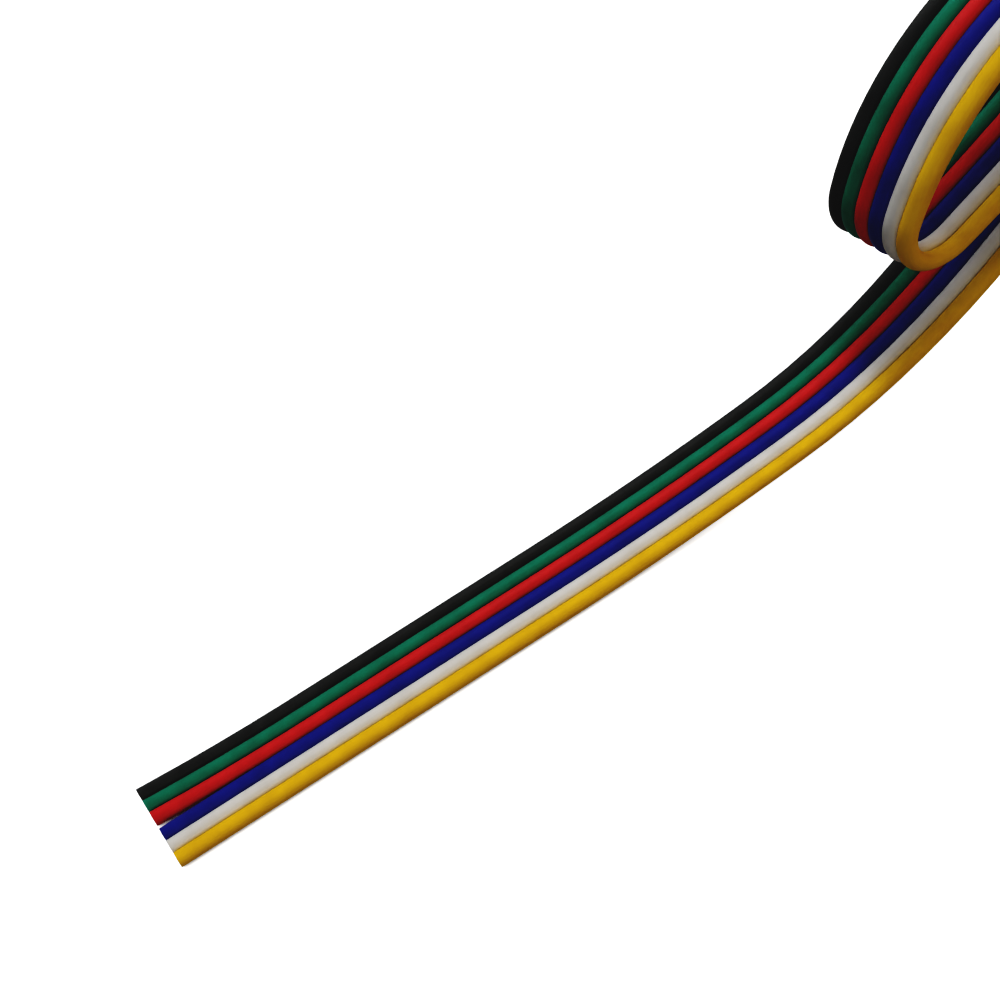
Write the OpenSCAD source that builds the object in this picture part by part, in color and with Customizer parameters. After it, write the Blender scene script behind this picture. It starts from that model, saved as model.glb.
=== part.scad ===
// Coiled extension cable for LED lighting: six insulated wires bonded side by side into a flat
// ribbon. The cut end lies flat, the ribbon rises into an open fold, and the rest is a tied roll
// that stands on its rim. The ribbon bends in one upright plane, so all wires follow one route.

/* [Wires] */
// Outside diameter of one insulated wire
wire_d = 1.72; // [1.5:0.01:2]
// Depth of the narrow flat where a wire is fused to its neighbour
bond_depth = 0.01; // [0.01:0.01:0.05]
// Diameter of the stranded conductor
core_d = 0.76; // [0.5:0.01:1]
// Clearance between the conductor and its insulation
core_gap = 0.02; // [0.01:0.01:0.05]

/* [Cut end] */
// Straight length that lies flat, from the middle of the cut
tail_l = 47.8; // [30:0.1:80]
// Slant of the cut from square, in degrees
cut_slant = 17; // [0:1:25]
// Length over which three wires have split from the other three
split_l = 18; // [5:0.5:25]
// Turn of the three split wires, in degrees
split_turn = 5.3; // [1:0.1:8]

/* [Open fold] */
// Radius of the long rise that follows the flat length
rise_r = 265; // [200:1:300]
// Radius of the lift under the fold
lift_r = 48; // [40:1:60]
// Radius of the easing before the lower turn
ease_r = 50; // [40:1:70]
// Radius of the lower turn, where the ribbon doubles back
lower_turn_r = 3.6; // [3.2:0.1:4.5]
// Radius of the nearly straight run between the two turns
under_r = 233; // [150:1:300]
// Radius of the upper turn, the tip of the fold
upper_turn_r = 4.6; // [4:0.1:6]
// Radius of the outer side of the fold
back_r = 19.5; // [17:0.1:22]

/* [Roll] */
// Middle radius of the half turn that the roll stands on
roll_r = 23; // [21:0.1:26]
// Space left between neighbouring layers of the roll
layer_gap = 0.28; // [0.15:0.01:0.4]
// Angle of the innermost stretch, in degrees
last_angle = 98; // [40:1:170]

/* [Tie] */
// Width of the strip that ties the layers at the top of the roll
tie_w = 3; // [2:0.1:4]
// Thickness of the strip
tie_t = 0.4; // [0.3:0.05:0.8]
// Slack between the strip and the wires
tie_gap = 0.1; // [0.1:0.01:0.3]
// Length of the twisted ends of the strip
tie_end_l = 9; // [5:0.5:15]
// Diameter of the twisted ends
tie_end_d = 1.4; // [1:0.1:2]

/* [Hidden] */
$fn = 48;

// The six wires, from the far side of the ribbon to the near side
WIRES = ["black", "green", "red", "blue", "white", "yellow"];
wire_count = len(WIRES);
// The first three wires are the ones that have split away
split_count = 3;

pitch = wire_d - 2 * bond_depth;
ribbon_w = wire_count * pitch;
bore_d = core_d + 2 * core_gap;
// Length drawn past the slanted cut and then trimmed off
trim_l = ribbon_w / 2;
// The trimming block is this big, and clears the ribbon on every side
trim_size = 4 * ribbon_w;
split_r = (split_l + trim_l) / (split_turn * PI / 180);

// Direction of the ribbon where it meets the top of the roll, in degrees
crest_heading = 6;
layer = wire_d + layer_gap;
crest_r = roll_r + layer / 2;
half_turns = 3;

// The ribbon's route after the straight length, as a radius and a turn in degrees for each bend.
// Upward turns are positive.
fold_bends = [
    [rise_r, 6.5], [lift_r, 33], [ease_r, -15],
    [lower_turn_r, 186.5], [under_r, -4],
    [upper_turn_r, -133], [back_r, -50]
];
fold_end = start(fold_bends, len(fold_bends));
fold_heading = heading(fold_bends, len(fold_bends));
// Radius of the bridge from the fold to the roll, such that the roll stands on the floor
bridge_r = (roll_r + crest_r * cos(crest_heading) - fold_end[1])
    / (cos(crest_heading) - cos(fold_heading));
roll_bends = [
    [bridge_r, crest_heading - fold_heading],
    [crest_r, -90 - crest_heading],
    for (i = [0 : half_turns - 1]) [roll_r - i * layer / 2, -180],
    [roll_r - half_turns * layer / 2, -last_angle]
];
bends = concat(fold_bends, roll_bends);

// The tie goes round the three layers at the top of the roll, heights counted from its middle
tie_place = centre(bends, len(fold_bends) + 1);
tie_top = crest_r + wire_d / 2 + tie_gap;
tie_bottom = roll_r - half_turns * layer / 2 - wire_d / 2 - tie_gap;
tie_inside = [ribbon_w + 2 * bond_depth + 2 * tie_gap, tie_top - tie_bottom];
tie_corner_r = wire_d / 2 + tie_gap;

// How far the far corner of the cut reaches past the middle of the cut
lean = ribbon_w / 2 * tan(cut_slant);
// How far the split moves the far corner sideways
throw = (split_l + lean) * (split_l + lean) / (2 * split_r);

// The part is centred over its length and width, and stands on the floor
left_x = -(ribbon_w / 2 + throw) * tan(cut_slant);
right_x = start(bends, len(fold_bends) + 2)[0] + wire_d / 2;
mid_x = (left_x + right_x) / 2;
mid_y = throw / 2;

// Direction of the ribbon before bend i, in degrees from level
function heading(list, i) = i == 0 ? 0 : heading(list, i - 1) + list[i - 1][1];
// Turns a flat vector by an angle
function spun(v, a) = [v[0] * cos(a) - v[1] * sin(a), v[0] * sin(a) + v[1] * cos(a)];
// From the start of bend i to the middle of its arc
function inward(list, i) =
    sign(list[i][1]) * list[i][0] * [-sin(heading(list, i)), cos(heading(list, i))];
function centre(list, i) = start(list, i) + inward(list, i);
// Where bend i starts, along the ribbon and upward
function start(list, i) =
    i == 0 ? [tail_l, 0] : centre(list, i - 1) - spun(inward(list, i - 1), list[i - 1][1]);
// Distance of a wire from the middle of the ribbon, toward the near side
function across(wire) = (place(wire) - (wire_count - 1) / 2) * pitch;
// Place of a wire in the ribbon, counted from the far side
function place(wire) = search([wire], WIRES)[0];

// Moves by whole steps and then by the remainder, so that neighbouring bends meet exactly
module shift(p) {
    whole = [for (v = p) floor(v)];
    part = [for (v = p - whole) floor(v * 1000) / 1000];
    translate(whole)
        translate(part)
            translate(p - whole - part)
                children();
}

// Section of one wire's insulation, with narrow flats on its two sides and the bore
module jacket_section() {
    difference() {
        intersection() {
            circle(d = wire_d);
            square([2 * wire_d, pitch], center = true);
        }
        circle(d = bore_d);
    }
}

module core_section() {
    circle(d = core_d);
}

// One bend of the route, about an axis across the ribbon
module bend(i) {
    turn = bends[i][1];
    from = heading(bends, i) - 90 * sign(turn);
    shift(centre(bends, i))
        rotate_extrude(angle = abs(turn), start = min(from, from + turn))
            shift([bends[i][0], 0])
                children();
}

// A level straight run, drawn along the ribbon
module run(from, length) {
    translate([from, 0, 0])
        rotate([90, 0, 90])
            linear_extrude(length)
                children();
}

// The end of a split wire, which bends sideways away from the other three
module split_end(wire) {
    shift([split_l, 0, across(wire)])
        rotate([-90, 0, 0])
            shift([0, split_r + across(wire), 0])
                rotate_extrude(angle = split_turn, start = -90 - split_turn)
                    shift([split_r + across(wire), 0])
                        rotate(90)
                            children();
}

// Sweeps a section along the whole route of one wire and trims the cut end
module along_route(wire) {
    translate([-mid_x, -mid_y, wire_d / 2])
        difference() {
            rotate([90, 0, 0]) {
                if (place(wire) < split_count) {
                    split_end(wire)
                        children();
                    shift([0, 0, across(wire)])
                        run(split_l, tail_l - split_l)
                            children();
                } else {
                    shift([0, 0, across(wire)])
                        run(-trim_l, tail_l + trim_l)
                            children();
                }
                shift([0, 0, across(wire)])
                    for (i = [0 : len(bends) - 1])
                        bend(i)
                            children();
            }
            rotate([0, 0, cut_slant])
                translate([-trim_size, -trim_size / 2, -trim_size / 2])
                    cube(trim_size);
        }
}

// A rectangle with round corners
module rounded(size, corner_r) {
    square([size[0], size[1] - 2 * corner_r], center = true);
    square([size[0] - 2 * corner_r, size[1]], center = true);
    for (x = [-1, 1], y = [-1, 1])
        translate([x * (size[0] / 2 - corner_r), y * (size[1] / 2 - corner_r)])
            circle(corner_r);
}

// The closed strip of the tie, seen along the ribbon
module tie_loop() {
    difference() {
        rounded(tie_inside + [2 * tie_t, 2 * tie_t], tie_corner_r + tie_t);
        rounded(tie_inside, tie_corner_r);
    }
}

module insulation(wire) {
    along_route(wire)
        jacket_section();
}

module conductor(wire) {
    along_route(wire)
        core_section();
}

module black_insulation() { color([0.07, 0.07, 0.07]) insulation("black"); }
module green_insulation() { color([0.05, 0.42, 0.30]) insulation("green"); }
module red_insulation() { color([0.78, 0.09, 0.11]) insulation("red"); }
module blue_insulation() { color([0.07, 0.07, 0.52]) insulation("blue"); }
module white_insulation() { color([0.86, 0.85, 0.83]) insulation("white"); }
module yellow_insulation() { color([0.93, 0.74, 0.02]) insulation("yellow"); }
module black_conductor() { color("silver") conductor("black"); }
module green_conductor() { color("silver") conductor("green"); }
module red_conductor() { color("silver") conductor("red"); }
module blue_conductor() { color("silver") conductor("blue"); }
module white_conductor() { color("silver") conductor("white"); }
module yellow_conductor() { color("silver") conductor("yellow"); }

// A twist tie: its strip closes round the layers and its twisted ends hang inside the roll
module roll_tie() {
    color([0.05, 0.05, 0.05])
        translate([tie_place[0] - mid_x, -mid_y, tie_place[1] + wire_d / 2]) {
            translate([-tie_w / 2, 0, (tie_top + tie_bottom) / 2])
                rotate([90, 0, 90])
                    linear_extrude(tie_w)
                        tie_loop();
            translate([0, 0, tie_bottom - tie_t / 2 - tie_end_l])
                cylinder(h = tie_end_l, d = tie_end_d);
        }
}

black_insulation();
green_insulation();
red_insulation();
blue_insulation();
white_insulation();
yellow_insulation();
black_conductor();
green_conductor();
red_conductor();
blue_conductor();
white_conductor();
yellow_conductor();
roll_tie();
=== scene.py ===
"""Coiled six-wire LED extension cable: its looks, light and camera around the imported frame."""

import random
from math import ceil, cos, pi, radians, sin, tan

import bpy
from mathutils import Matrix, Vector


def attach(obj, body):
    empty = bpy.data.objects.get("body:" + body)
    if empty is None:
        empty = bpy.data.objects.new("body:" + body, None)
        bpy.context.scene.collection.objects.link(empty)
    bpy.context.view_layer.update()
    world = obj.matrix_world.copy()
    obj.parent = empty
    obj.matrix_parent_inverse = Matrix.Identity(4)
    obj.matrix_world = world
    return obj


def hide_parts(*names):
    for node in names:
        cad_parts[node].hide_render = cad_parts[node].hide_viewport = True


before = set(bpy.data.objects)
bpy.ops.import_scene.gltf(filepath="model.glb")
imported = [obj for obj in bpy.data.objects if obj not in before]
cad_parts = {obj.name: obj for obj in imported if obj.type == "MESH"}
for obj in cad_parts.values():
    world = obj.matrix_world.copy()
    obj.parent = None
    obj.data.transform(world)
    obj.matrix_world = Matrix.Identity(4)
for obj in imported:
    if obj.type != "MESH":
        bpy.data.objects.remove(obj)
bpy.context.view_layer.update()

MM = 0.001
random.seed(7)

# The six wires, from the far edge of the ribbon to the near edge.
# Each has the colour of its vinyl and the darker tone that the vinyl shades to, in linear light.
WIRES = {
    "black": ((0.042, 0.044, 0.044), (0.030, 0.031, 0.031)),
    "green": ((0.006, 0.232, 0.158), (0.005, 0.185, 0.126)),
    "red": ((0.660, 0.042, 0.048), (0.560, 0.034, 0.040)),
    "blue": ((0.024, 0.032, 0.275), (0.019, 0.026, 0.220)),
    "white": ((0.730, 0.720, 0.690), (0.670, 0.655, 0.620)),
    "yellow": ((0.850, 0.520, 0.002), (0.755, 0.445, 0.002)),
}
WIRE_NAMES = list(WIRES)
SPLIT_COUNT = 3
SPLIT_WIRES = WIRE_NAMES[:SPLIT_COUNT]

# Sizes of the wires, as in the part's source
WIRE_R = 1.72 / 2 * MM
BOND_DEPTH = 0.01 * MM
PITCH = 2 * (WIRE_R - BOND_DEPTH)
RIBBON_W = len(WIRES) * PITCH
BORE_R = 0.40 * MM
CORE_R = 0.38 * MM

# The cut end, as in the part's source
TAIL_L = 47.8 * MM
CUT_SLANT = radians(17)
SPLIT_L = 18 * MM
SPLIT_TURN = radians(5.3)
SPLIT_R = (SPLIT_L + RIBBON_W / 2) / SPLIT_TURN

# The cut also leans, with its lower edge furthest out, so the photo shows it as one straight line
CUT_LEAN = radians(20)
CUT_REACH = 0.2 * MM
CUT_HALVINGS = 40
RIM_R = 0.07 * MM

# The route after the straight tail, as in the part's source: a radius and a turn in degrees for
# each bend, with upward turns positive
ROLL_R = 23 * MM
LAYER = 2.0 * MM
CREST_R = ROLL_R + LAYER / 2
CREST_HEADING = 6
HALF_TURNS = 3
LAST_TURN = 98
FOLD_BENDS = [
    (265 * MM, 6.5), (48 * MM, 33), (50 * MM, -15),
    (3.6 * MM, 186.5), (233 * MM, -4),
    (4.6 * MM, -133), (19.5 * MM, -50),
]

# Fineness of the wire meshes
SHARP_ANGLE = radians(50)
RING_POINTS = 40
STATION_TURN = 4
STATION_L = 4 * MM
RIM_STEPS = 3


def bend_centre(at, heading, radius, turn):
    """The middle of a bend's arc, along the ribbon and upward."""
    side = radius if turn > 0 else -radius
    return at[0] - side * sin(radians(heading)), at[1] + side * cos(radians(heading))


def along_bend(at, heading, radius, turn):
    """The point and the heading after turning by an angle on a bend."""
    centre = bend_centre(at, heading, radius, turn)
    a = radians(turn)
    dx, dz = at[0] - centre[0], at[1] - centre[1]
    point = centre[0] + dx * cos(a) - dz * sin(a), centre[1] + dx * sin(a) + dz * cos(a)
    return point, heading + turn


def lay_out(bends, at, heading, travelled):
    """Each bend with where it starts: (start of the stretch, point, heading, radius, turn)."""
    laid = []
    for radius, turn in bends:
        laid.append((travelled, at, heading, radius, turn))
        at, heading = along_bend(at, heading, radius, turn)
        travelled += radius * abs(radians(turn))
    return laid, at, heading, travelled


fold, fold_end, fold_heading, fold_l = lay_out(FOLD_BENDS, (TAIL_L, 0), 0, TAIL_L)
BRIDGE_R = (ROLL_R + CREST_R * cos(radians(CREST_HEADING)) - fold_end[1]) / (
    cos(radians(CREST_HEADING)) - cos(radians(fold_heading)))
ROLL_BENDS = [(BRIDGE_R, CREST_HEADING - fold_heading), (CREST_R, -90 - CREST_HEADING)]
ROLL_BENDS += [(ROLL_R - i * LAYER / 2, -180) for i in range(HALF_TURNS)]
ROLL_BENDS += [(ROLL_R - HALF_TURNS * LAYER / 2, -LAST_TURN)]
roll, _, _, ROUTE_L = lay_out(ROLL_BENDS, fold_end, fold_heading, fold_l)
BENDS = fold + roll

# The part stands on the floor and is centred over its length and width
CORNER_REACH = RIBBON_W / 2 * tan(CUT_SLANT)
THROW = (SPLIT_L + CORNER_REACH) ** 2 / (2 * SPLIT_R)
LEFT_X = -(RIBBON_W / 2 + THROW) * tan(CUT_SLANT)
RIGHT_X = roll[2][1][0] + WIRE_R
ORIGIN = Vector((-(LEFT_X + RIGHT_X) / 2, -THROW / 2, WIRE_R))


def on_route(s):
    """The point and the heading at a distance along the ribbon's middle line."""
    if s <= TAIL_L:
        return (s, 0), 0
    start, at, heading, radius, turn = [b for b in BENDS if b[0] <= s][-1]
    sign = 1 if turn > 0 else -1
    return along_bend(at, heading, radius, sign * (s - start) / radius * 180 / pi)


def place(s, y, rise, split):
    """A point of a wire at a distance along the ribbon, across it and above its middle plane."""
    if split and s < SPLIT_L:
        spread = (SPLIT_L - s) / SPLIT_R
        reach = SPLIT_R - y
        x, out = SPLIT_L - reach * sin(spread), SPLIT_R - reach * cos(spread)
        return ORIGIN + Vector((x, out, rise))
    (x, z), heading = on_route(s)
    h = radians(heading)
    return ORIGIN + Vector((x - rise * sin(h), y, z + rise * cos(h)))


def cut_at(y, split, rise=0):
    """Where along the ribbon the slanted, leaning cut meets a line, found by halving."""
    low, high = -RIBBON_W, RIBBON_W
    for _ in range(CUT_HALVINGS):
        mid = (low + high) / 2
        p = place(mid, y, 0, split) - ORIGIN
        beyond = p.x * cos(CUT_SLANT) + p.y * sin(CUT_SLANT) - rise * tan(CUT_LEAN) + CUT_REACH
        low, high = (mid, high) if beyond < 0 else (low, mid)
    return high


def stations():
    """Distances along the ribbon at which a wire's rings stand, closer together in the bends."""
    marks = []
    for i in range(1, ceil(TAIL_L / STATION_L)):
        marks.append(i * STATION_L)
    marks.append(TAIL_L)
    for start, _at, _heading, radius, turn in BENDS:
        length = radius * abs(radians(turn))
        n = max(ceil(abs(turn) / STATION_TURN), ceil(length / STATION_L))
        marks += [start + length * k / n for k in range(1, n + 1)]
    return marks


STATIONS = stations()


def across(i):
    """Distance of a wire's middle from the middle of the ribbon, toward the far edge."""
    return ((len(WIRES) - 1) / 2 - i) * PITCH


def wire_section(radius, flat=None):
    """The ring of a wire's section as (across, rise), flattened where it meets its neighbours."""
    ring = []
    for k in range(RING_POINTS):
        a = 2 * pi * k / RING_POINTS
        y = radius * cos(a)
        ring.append((y if flat is None else max(-flat, min(flat, y)), radius * sin(a)))
    return ring


# Name of the attribute that holds a point's place in its wire: across, up and along
LAY = "lay"


class Shape:
    """Gathers rings of points into one mesh object."""

    def __init__(self):
        self.verts = []
        self.faces = []
        self.slots = []
        self.lay = []

    def add_ring(self, ring):
        """Adds a ring and returns the numbers of its points."""
        first = len(self.verts)
        self.verts += ring
        return list(range(first, first + len(ring)))

    def add_face(self, corners, slot=0):
        """Adds one face with its material slot."""
        self.faces.append(corners)
        self.slots.append(slot)

    def bridge(self, a, b):
        """Joins two rings of equal length with quads."""
        for k in range(len(a)):
            m = (k + 1) % len(a)
            self.add_face((a[k], a[m], b[m], b[k]))

    def add_tube(self, rings, caps=None):
        """A tube through the rings. Its ends are closed with the caps' slot, or joined if None."""
        ids = [self.add_ring(ring) for ring in rings]
        for a, b in zip(ids, ids[1:]):
            self.bridge(a, b)
        if caps is None:
            self.bridge(ids[-1], ids[0])
        else:
            self.add_face(tuple(reversed(ids[0])), caps)
            self.add_face(tuple(ids[-1]), caps)

    def build(self, name, *mats):
        """The finished object, smooth but for edges sharper than a rounded rim."""
        mesh = bpy.data.meshes.new(name)
        mesh.from_pydata(self.verts, [], self.faces)
        mesh.polygons.foreach_set("material_index", self.slots)
        for mat in mats:
            mesh.materials.append(mat)
        if self.lay:
            lay = mesh.attributes.new(LAY, "FLOAT_VECTOR", "POINT")
            lay.data.foreach_set("vector", [value for point in self.lay for value in point])
        mesh.update()
        mesh.shade_smooth()
        mesh.set_sharp_from_angle(angle=SHARP_ANGLE)
        obj = bpy.data.objects.new(name, mesh)
        bpy.context.scene.collection.objects.link(obj)
        return obj


def ring_at(s_of, section, wire):
    """One ring of points of a wire; s_of gives the distance along the ribbon for each point."""
    middle = across(WIRE_NAMES.index(wire))
    split = wire in SPLIT_WIRES
    return [place(s_of(middle + y, rise), middle + y, rise, split) for y, rise in section]


def jacket(wire):
    """One wire's insulation: a tube with its bore, slanted at the cut end and square inside."""
    split = wire in SPLIT_WIRES
    middle = across(WIRE_NAMES.index(wire))
    flat = PITCH / 2
    outer = wire_section(WIRE_R, flat)
    bore = wire_section(BORE_R)
    shape = Shape()
    rings = []

    def ring(s_of, section):
        rings.append(ring_at(s_of, section, wire))
        shape.lay += [(y, rise, s_of(middle + y, rise)) for y, rise in section]

    for k in range(RIM_STEPS + 1):
        a = pi / 2 * k / RIM_STEPS
        inset, back = RIM_R * (1 - sin(a)), RIM_R * (1 - cos(a))
        rim = wire_section(WIRE_R - inset, flat)
        ring(lambda y, rise, b=back: cut_at(y, split, rise) + b, rim)
    for s in STATIONS[:-1]:
        ring(lambda y, rise, s=s: s, outer)
    for k in range(RIM_STEPS + 1):
        a = pi / 2 * (1 - k / RIM_STEPS)
        inset, back = RIM_R * (1 - sin(a)), RIM_R * (1 - cos(a))
        rim = wire_section(WIRE_R - inset, flat)
        ring(lambda y, rise, b=back: ROUTE_L - b, rim)
    for s in reversed(STATIONS):
        ring(lambda y, rise, s=s: s, bore)
    ring(lambda y, rise: cut_at(y, split, rise), bore)
    shape.add_tube(rings)
    return shape


# The strands of a conductor show at its two ends: one in the middle, then six, then twelve.
# Each ring has a count and a distance from the middle in strand radii, five in all.
STRAND_R = CORE_R / 5
STRAND_RINGS = ((1, 0), (6, 2), (12, 4))
STRAND_SHOWN = 3 * MM
BUNDLE_FROM = 1.5 * STRAND_SHOWN
STRAND_LAY = 11 * MM
STRAND_POINTS = 8
STRAND_STEPS = 8
STRAND_UNEVEN = 0.05 * MM


def strands(shape, wire, near):
    """The twisted strands at the cut end, or at the inner end of the roll."""
    split = wire in SPLIT_WIRES
    middle = across(WIRE_NAMES.index(wire))
    for count, layer in STRAND_RINGS:
        for i in range(count):
            trim = random.uniform(0, STRAND_UNEVEN)
            rings = []
            for step in range(STRAND_STEPS + 1):
                inward = trim + (STRAND_SHOWN - trim) * step / STRAND_STEPS
                turn = 2 * pi * (i / count + inward / STRAND_LAY)
                y = middle + layer * STRAND_R * cos(turn)
                rise = layer * STRAND_R * sin(turn)
                s = cut_at(y, split, rise) + inward if near else ROUTE_L - inward
                ring = []
                for k in range(STRAND_POINTS):
                    a = 2 * pi * k / STRAND_POINTS
                    ring.append(place(s, y + STRAND_R * cos(a), rise + STRAND_R * sin(a), split))
                rings.append(ring)
            shape.add_tube(rings if near else rings[::-1], caps=1)


def conductor(wire):
    """One conductor: a round bundle inside the jacket, with its strands shown at both ends."""
    shape = Shape()
    round_section = wire_section(CORE_R)
    split = wire in SPLIT_WIRES
    inner = [s for s in STATIONS if BUNDLE_FROM < s < ROUTE_L - STRAND_SHOWN]
    rings = [ring_at(lambda y, rise: cut_at(y, split, rise) + STRAND_SHOWN, round_section, wire)]
    rings += [ring_at(lambda y, rise, s=s: s, round_section, wire) for s in inner]
    rings.append(ring_at(lambda y, rise: ROUTE_L - STRAND_SHOWN, round_section, wire))
    shape.add_tube(rings, caps=0)
    strands(shape, wire, near=True)
    strands(shape, wire, near=False)
    return shape


# Fineness of the vinyl's skin, in features to the metre, and how strongly it shows. The ramp
# runs from shade to tone, and the satin range is the roughness.
MOTTLE = 420
MOTTLE_DETAIL = 4
GRAIN = 5200
GRAIN_DETAIL = 3
GRAIN_DEPTH = 0.010 * MM
DRAWN_LINES = (6500, 6500, 45)
LINE_DETAIL = 3
LINE_DEPTH = 0.020 * MM
LINE_TONE = 0.22
SHADE_AT = 0.40
TONE_AT = 0.74
SATIN = (0.46, 0.66)
SHEEN_LEVEL = 0.14


def vinyl(name, tone, shade):
    """Satin vinyl: faint mottling, lines drawn along the wire and a slightly uneven gloss."""
    mat = bpy.data.materials.new(f"{name}_vinyl_skin")
    mat.use_nodes = True
    nodes, links = mat.node_tree.nodes, mat.node_tree.links
    bsdf = nodes["Principled BSDF"]
    lay = nodes.new("ShaderNodeAttribute")
    lay.attribute_name = LAY
    stretch = nodes.new("ShaderNodeMapping")
    stretch.inputs["Scale"].default_value = DRAWN_LINES
    drawn = nodes.new("ShaderNodeTexNoise")
    drawn.inputs["Scale"].default_value = 1
    drawn.inputs["Detail"].default_value = LINE_DETAIL
    mottle = nodes.new("ShaderNodeTexNoise")
    mottle.inputs["Scale"].default_value = MOTTLE
    mottle.inputs["Detail"].default_value = MOTTLE_DETAIL
    grain = nodes.new("ShaderNodeTexNoise")
    grain.inputs["Scale"].default_value = GRAIN
    grain.inputs["Detail"].default_value = GRAIN_DETAIL
    uneven = nodes.new("ShaderNodeMath")
    uneven.operation = "MULTIPLY_ADD"
    uneven.inputs[1].default_value = LINE_TONE
    tint = nodes.new("ShaderNodeValToRGB")
    tint.color_ramp.elements[0].position = SHADE_AT
    tint.color_ramp.elements[0].color = (*shade, 1)
    tint.color_ramp.elements[1].position = TONE_AT
    tint.color_ramp.elements[1].color = (*tone, 1)
    gloss = nodes.new("ShaderNodeMapRange")
    gloss.inputs["To Min"].default_value = SATIN[0]
    gloss.inputs["To Max"].default_value = SATIN[1]
    ridges = nodes.new("ShaderNodeBump")
    ridges.inputs["Distance"].default_value = LINE_DEPTH
    pores = nodes.new("ShaderNodeBump")
    pores.inputs["Distance"].default_value = GRAIN_DEPTH
    links.new(lay.outputs["Vector"], stretch.inputs["Vector"])
    links.new(stretch.outputs["Vector"], drawn.inputs["Vector"])
    links.new(lay.outputs["Vector"], mottle.inputs["Vector"])
    links.new(lay.outputs["Vector"], grain.inputs["Vector"])
    links.new(drawn.outputs["Fac"], uneven.inputs[0])
    links.new(mottle.outputs["Fac"], uneven.inputs[2])
    links.new(uneven.outputs["Value"], tint.inputs["Fac"])
    links.new(tint.outputs["Color"], bsdf.inputs["Base Color"])
    links.new(mottle.outputs["Fac"], gloss.inputs["Value"])
    links.new(gloss.outputs["Result"], bsdf.inputs["Roughness"])
    links.new(drawn.outputs["Fac"], ridges.inputs["Height"])
    links.new(grain.outputs["Fac"], pores.inputs["Height"])
    links.new(ridges.outputs["Normal"], pores.inputs["Normal"])
    links.new(pores.outputs["Normal"], bsdf.inputs["Normal"])
    bsdf.inputs["Specular IOR Level"].default_value = SHEEN_LEVEL
    return mat


# The metals: a tone, the darker tone that it shades to, and the middle of its roughness
METAL_GRAIN = 9000
METAL_UNEVEN = 0.08
TINNED = ((0.66, 0.65, 0.62), (0.48, 0.47, 0.45), 0.32)
COPPER = ((0.72, 0.36, 0.22), (0.50, 0.24, 0.14), 0.38)


def metal(name, tone, dark, rough):
    """Drawn metal with a faintly uneven tone and gloss."""
    mat = bpy.data.materials.new(name)
    mat.use_nodes = True
    nodes, links = mat.node_tree.nodes, mat.node_tree.links
    bsdf = nodes["Principled BSDF"]
    coords = nodes.new("ShaderNodeTexCoord")
    noise = nodes.new("ShaderNodeTexNoise")
    noise.inputs["Scale"].default_value = METAL_GRAIN
    tint = nodes.new("ShaderNodeValToRGB")
    tint.color_ramp.elements[0].color = (*dark, 1)
    tint.color_ramp.elements[1].color = (*tone, 1)
    gloss = nodes.new("ShaderNodeMapRange")
    gloss.inputs["To Min"].default_value = rough - METAL_UNEVEN
    gloss.inputs["To Max"].default_value = rough + METAL_UNEVEN
    links.new(coords.outputs["Object"], noise.inputs["Vector"])
    links.new(noise.outputs["Fac"], tint.inputs["Fac"])
    links.new(tint.outputs["Color"], bsdf.inputs["Base Color"])
    links.new(noise.outputs["Fac"], gloss.inputs["Value"])
    links.new(gloss.outputs["Result"], bsdf.inputs["Roughness"])
    bsdf.inputs["Metallic"].default_value = 1
    return mat


tinned = metal("tinned_strand", *TINNED)
copper = metal("cut_copper", *COPPER)

jackets = {}
cores = {}
for wire, (tone, shade) in WIRES.items():
    jackets[wire] = jacket(wire).build(f"{wire}_jacket", vinyl(wire, tone, shade))
    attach(jackets[wire], "root")
    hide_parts(f"{wire}_insulation")
    cores[wire] = conductor(wire).build(f"{wire}_strands", tinned, copper)
    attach(cores[wire], "root")
    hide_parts(f"{wire}_conductor")

# The twist tie round the three layers at the top of the roll, as in the part's source
TIE_W = 3 * MM
TIE_T = 0.4 * MM
TIE_GAP = 0.1 * MM
TIE_END_L = 9 * MM
TIE_END_R = 1.4 / 2 * MM

# The tie's thin wings, its wire core, and its two ends, which narrow, twist and splay
TIE_TONES = ((0.040, 0.040, 0.042), (0.026, 0.026, 0.028))
TIE_WING_T = 0.14 * MM
TIE_CORE_W = 0.30 * MM
TIE_TWIST_R = TIE_END_R / 3
TIE_TURNS = 3
TIE_SPLAY_L = 2 * MM
TIE_SPLAY = 0.7 * MM
TIE_NARROW_L = 2 * MM
TIE_NARROWED = 0.6
TIE_SECTION_STEPS = 14
TIE_END_STEPS = 150
TIE_CORNER_STEPS = 8

_, crest_at, crest_heading, _, crest_turn = roll[1]
TIE_MIDDLE = bend_centre(crest_at, crest_heading, CREST_R, crest_turn)
TIE_TOP = CREST_R + WIRE_R + TIE_GAP
TIE_BOTTOM = ROLL_R - HALF_TURNS * LAYER / 2 - WIRE_R - TIE_GAP


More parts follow.
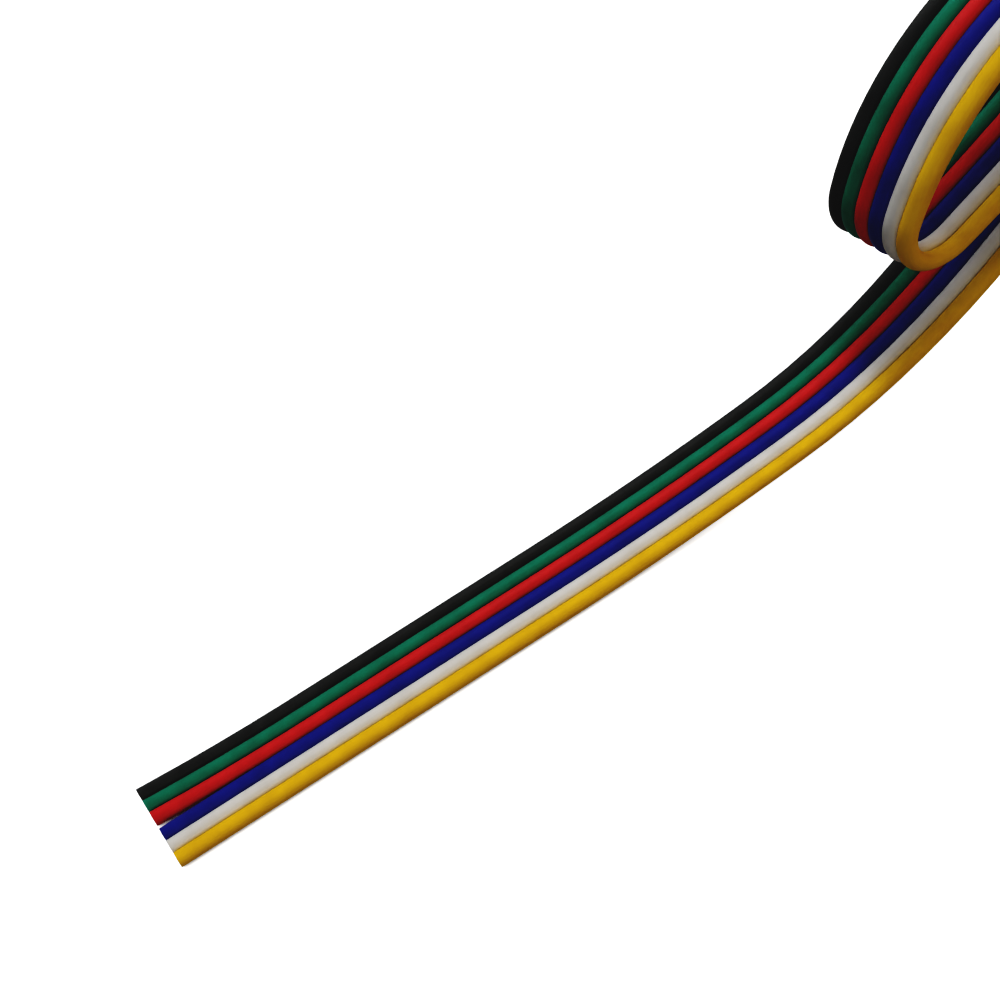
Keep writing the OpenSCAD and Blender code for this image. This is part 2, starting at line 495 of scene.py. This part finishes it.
def tie_line():
    """The strip's middle line: up one twisted end, round the layers, and down the other end.

    Each point comes with the direction of the strip's width and the share of its full width."""
    half_w = RIBBON_W / 2 + BOND_DEPTH + TIE_GAP + TIE_T / 2
    high, low = TIE_TOP + TIE_T / 2, TIE_BOTTOM - TIE_T / 2
    corner = WIRE_R + TIE_GAP + TIE_T / 2
    turn_r = TIE_T
    flat = Vector((1, 0, 0))

    def twisted_end(side):
        end = []
        for k in range(TIE_END_STEPS + 1):
            down = (TIE_END_L - turn_r) * k / TIE_END_STEPS
            turn = 2 * pi * TIE_TURNS * min(1, down / (TIE_END_L - TIE_SPLAY_L))
            splay = max(0, down - (TIE_END_L - TIE_SPLAY_L)) / TIE_SPLAY_L
            r = TIE_TWIST_R + TIE_SPLAY * splay ** 2
            narrow = 1 - TIE_NARROWED * min(1, down / TIE_NARROW_L)
            at = Vector((-side * r * sin(turn), side * r * cos(turn), low - turn_r - down))
            end.append((at, Vector((cos(turn), sin(turn), 0)), narrow))
        return end

    def arc(y, z, r, a0, a1):
        steps = [a0 + (a1 - a0) * k / TIE_CORNER_STEPS for k in range(TIE_CORNER_STEPS + 1)]
        return [(Vector((0, y + r * cos(radians(a)), z + r * sin(radians(a)))), flat, 1)
                for a in steps]

    line = twisted_end(-1)[::-1]
    line += arc(-TIE_TWIST_R - turn_r, low - turn_r, turn_r, 0, 90)
    line += arc(-half_w + corner, low + corner, corner, 270, 180)
    line += arc(-half_w + corner, high - corner, corner, 180, 90)
    line += arc(half_w - corner, high - corner, corner, 90, 0)
    line += arc(half_w - corner, low + corner, corner, 0, -90)
    line += arc(TIE_TWIST_R + turn_r, low - turn_r, turn_r, 90, 180)
    line += twisted_end(1)
    return line


def tie_section(width):
    """The strip's section as (across, thick): thin wings on a wire core."""
    edge = [-width / 2 + width * k / TIE_SECTION_STEPS for k in range(TIE_SECTION_STEPS + 1)]
    top = []
    for w in edge:
        core = max(0, 1 - (w / TIE_CORE_W) ** 2) ** 0.5
        top.append((w, TIE_WING_T / 2 + (TIE_T - TIE_WING_T) / 2 * core))
    return top + [(w, -t) for w, t in reversed(top)]


def twist_tie():
    """The whole tie as one strip."""
    middle = ORIGIN + Vector((TIE_MIDDLE[0], 0, TIE_MIDDLE[1]))
    line = tie_line()
    shape = Shape()
    rings = []
    travelled = 0
    for i, (at, wide, share) in enumerate(line):
        before, after = line[max(i - 1, 0)][0], line[min(i + 1, len(line) - 1)][0]
        travelled += (at - before).length
        thick = (after - before).normalized().cross(wide).normalized()
        section = tie_section(TIE_W * share)
        rings.append([middle + at + wide * w + thick * t for w, t in section])
        shape.lay += [(w, t, travelled) for w, t in section]
    shape.add_tube(rings, caps=0)
    return shape


tie = twist_tie().build("twist_tie", vinyl("tie", *TIE_TONES))
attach(tie, "root")
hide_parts("roll_tie")

# The camera of the photograph: a wide lens close above the near edge, tilted to its side
CAMERA_AT = Vector((-40.68, -48.28, 73.84)) * MM
CAMERA_AIM = Vector((-35.18, 13.17, 0.86)) * MM
CAMERA_ROLL = radians(-28.16)
CAMERA_LENS = 28.8
CAMERA_SENSOR = 36
CAMERA_NEAREST = 1 * MM

camera_data = bpy.data.cameras.new("camera")
camera_data.lens = CAMERA_LENS
camera_data.sensor_width = CAMERA_SENSOR
camera_data.sensor_fit = "HORIZONTAL"
camera_data.clip_start = CAMERA_NEAREST
camera = bpy.data.objects.new("camera", camera_data)
bpy.context.scene.collection.objects.link(camera)
look = (CAMERA_AIM - CAMERA_AT).to_track_quat("-Z", "Y").to_matrix().to_4x4()
camera.matrix_world = Matrix.Translation(CAMERA_AT) @ look @ Matrix.Rotation(CAMERA_ROLL, 4, "Z")
bpy.context.scene.camera = camera

# A pale studio sweep: a round floor that curves up into a wall on all sides
SWEEP_CENTRE_R = 1.0
SWEEP_FLOOR_R = 2.0
SWEEP_CURVE_R = 1.0
SWEEP_WALL_H = 3.0
SWEEP_SIDES = 64
SWEEP_STEPS = 12
SWEEP_TONE = (0.8, 0.8, 0.8, 1)
SWEEP_ROUGH = 0.9

# The sweep glows evenly, as bright paper does, but for painted shade: ambient occlusion dims the
# glow in the gap between the split wires and along the wires' edges
WHITE = (1, 1, 1, 1)
SWEEP_GLOW = 0.9
PAINTED_SHADE_REACH = 1.5 * MM
PAINTED_SHADE_SAMPLES = 8
PAINTED_SHADE_FULL_AT = 0.25
PAINTED_SHADE_GONE_AT = 0.50


def studio_sweep():
    """The sweep as one smooth sheet, with the floor at the height of zero."""
    profile = [(SWEEP_CENTRE_R, 0), (SWEEP_FLOOR_R, 0)]
    for k in range(1, SWEEP_STEPS + 1):
        a = pi / 2 * k / SWEEP_STEPS
        profile.append((SWEEP_FLOOR_R + SWEEP_CURVE_R * sin(a), SWEEP_CURVE_R * (1 - cos(a))))
    profile.append((SWEEP_FLOOR_R + SWEEP_CURVE_R, SWEEP_WALL_H))
    shape = Shape()
    rings = []
    for r, z in profile:
        angles = [2 * pi * k / SWEEP_SIDES for k in range(SWEEP_SIDES)]
        rings.append(shape.add_ring([Vector((r * cos(a), r * sin(a), z)) for a in angles]))
    shape.add_face(tuple(rings[0]))
    for low_ring, high_ring in zip(rings, rings[1:]):
        shape.bridge(high_ring, low_ring)
    return shape


sweep_mat = bpy.data.materials.new("sweep")
sweep_mat.use_nodes = True
sweep_nodes, sweep_links = sweep_mat.node_tree.nodes, sweep_mat.node_tree.links
sweep_bsdf = sweep_nodes["Principled BSDF"]
sweep_bsdf.inputs["Base Color"].default_value = SWEEP_TONE
sweep_bsdf.inputs["Roughness"].default_value = SWEEP_ROUGH
sweep_bsdf.inputs["Specular IOR Level"].default_value = 0
sweep_bsdf.inputs["Emission Color"].default_value = WHITE
# Ambient occlusion as the mask for painted shade on the floor next to the wires
painted_gap_shade = sweep_nodes.new("ShaderNodeAmbientOcclusion")
painted_gap_shade.inputs["Distance"].default_value = PAINTED_SHADE_REACH
painted_gap_shade.samples = PAINTED_SHADE_SAMPLES
# The glow strength follows the mask, so the floor takes painted shade where the wires crowd in
glow_with_painted_shade = sweep_nodes.new("ShaderNodeMapRange")
glow_with_painted_shade.inputs["From Min"].default_value = PAINTED_SHADE_FULL_AT
glow_with_painted_shade.inputs["From Max"].default_value = PAINTED_SHADE_GONE_AT
glow_with_painted_shade.inputs["To Max"].default_value = SWEEP_GLOW
sweep_links.new(painted_gap_shade.outputs["AO"], glow_with_painted_shade.inputs["Value"])
sweep_links.new(glow_with_painted_shade.outputs["Result"], sweep_bsdf.inputs["Emission Strength"])
sweep = studio_sweep().build("sweep", sweep_mat)
# Only the camera sees the glow, so that it doesn't light the shaded sides of the cable
sweep.visible_diffuse = False
sweep.visible_glossy = False

# The lights: a place, the side of the square, a power and a tint
LIT_PLACE = Vector((-50, 0, 0)) * MM
PLAIN = (1, 1, 1)
WARM = (1.0, 0.74, 0.48)
LIGHTS = {
    "top_light": ((0.05, 0.10, 0.72), 0.25, 2.1, PLAIN),
    "back_light": ((0.05, 0.45, 0.45), 0.30, 1.3, PLAIN),
    "left_light": ((-0.55, 0.25, 0.25), 0.30, 0.2, PLAIN),
    "left_front_light": ((-0.45, -0.50, 0.35), 0.35, 1.1, PLAIN),
    "right_front_light": ((0.40, -0.50, 0.35), 0.35, 1.0, WARM),
}


def soft_light(name, at, size, power, tint):
    """A square soft light that faces the flat length of the cable."""
    data = bpy.data.lights.new(name, "AREA")
    data.size = size
    data.energy = power
    data.color = tint
    light = bpy.data.objects.new(name, data)
    light.location = at
    light.rotation_euler = (LIT_PLACE - Vector(at)).to_track_quat("-Z", "Y").to_euler()
    bpy.context.scene.collection.objects.link(light)


for name, light in LIGHTS.items():
    soft_light(name, *light)

# The picture has the hard contrast of the photograph: deep shadows under plain colours.
# Each point of the curve for all three colours says how a dark tone is shown.
ALL_COLOURS = 3
TONE_FLOOR = (0, 0.004)
TONE_POINTS = [(0.05, 0.013), (0.10, 0.046), (0.18, 0.138), (0.30, 0.29), (0.60, 0.62)]
picture = bpy.context.scene.view_settings
picture.view_transform = "Standard"
picture.use_curve_mapping = True
tone_curve = picture.curve_mapping.curves[ALL_COLOURS]
tone_curve.points[0].location = TONE_FLOOR
for dark, shown in TONE_POINTS:
    tone_curve.points.new(dark, shown)
picture.curve_mapping.update()

# Dim surroundings, with pale walls that only the reflections see
ROOM_LIGHT = 0.02
ROOM_SEEN = 0.5
world = bpy.data.worlds.new("studio")
world.use_nodes = True
room = world.node_tree.nodes["Background"]
room.inputs["Color"].default_value = WHITE
ray_kind = world.node_tree.nodes.new("ShaderNodeLightPath")
room_strength = world.node_tree.nodes.new("ShaderNodeMapRange")
room_strength.inputs["To Min"].default_value = ROOM_LIGHT
room_strength.inputs["To Max"].default_value = ROOM_SEEN
world.node_tree.links.new(ray_kind.outputs["Is Glossy Ray"], room_strength.inputs["Value"])
world.node_tree.links.new(room_strength.outputs["Result"], room.inputs["Strength"])
bpy.context.scene.world = world
